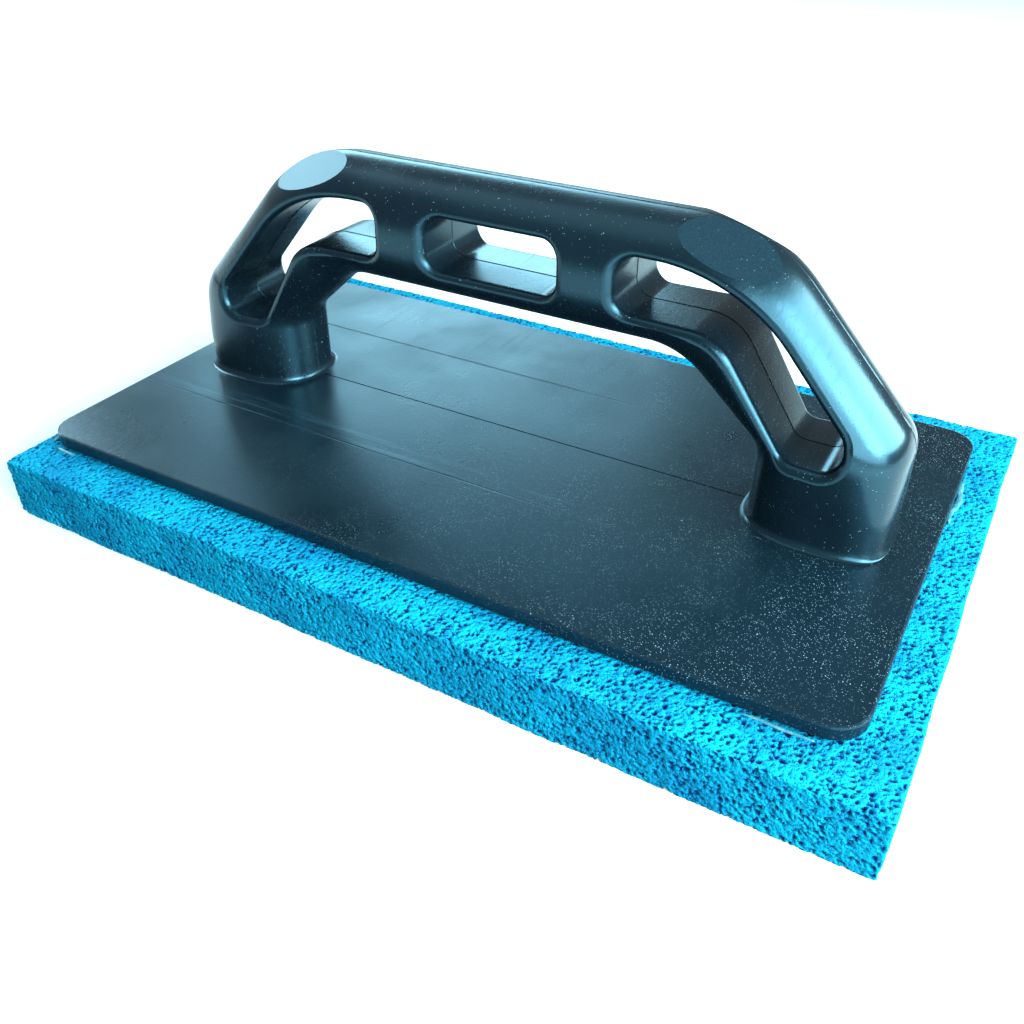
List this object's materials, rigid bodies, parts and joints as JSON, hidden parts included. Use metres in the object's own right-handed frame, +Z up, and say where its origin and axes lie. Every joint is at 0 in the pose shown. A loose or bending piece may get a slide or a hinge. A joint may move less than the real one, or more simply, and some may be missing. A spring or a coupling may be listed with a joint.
{
  "type": "sponge-faced hand float",
  "caption": "Hand float for plaster and grout: a slotted black bow handle on a flat plastic plate, with a thick blue sponge-rubber pad glued beneath.",
  "frame": {"origin": "centre of the sponge pad's underside, the face that rubs the work", "axes": "+X along the handle and the float's length, +Y across it, +Z up from the working face to the handle"},
  "size_m": [0.28, 0.18, 0.1067],
  "materials": {
    "sponge_rubber": "open-cell blue sponge rubber, cut faces with ragged pores",
    "contact_adhesive": "translucent dried contact adhesive",
    "plate_plastic": "satin black moulded plastic with fine scuffs",
    "handle_plastic": "semi-gloss black moulded plastic",
    "zinc_plated_steel": "bright zinc plate"
  },
  "bodies": {
    "root": {"sponge_pad": "sponge_rubber", "adhesive_film": "contact_adhesive", "base_plate": "plate_plastic", "handle": "handle_plastic", "handle_screw_left": "zinc_plated_steel", "handle_screw_right": "zinc_plated_steel"}
  },
  "joints": []
}
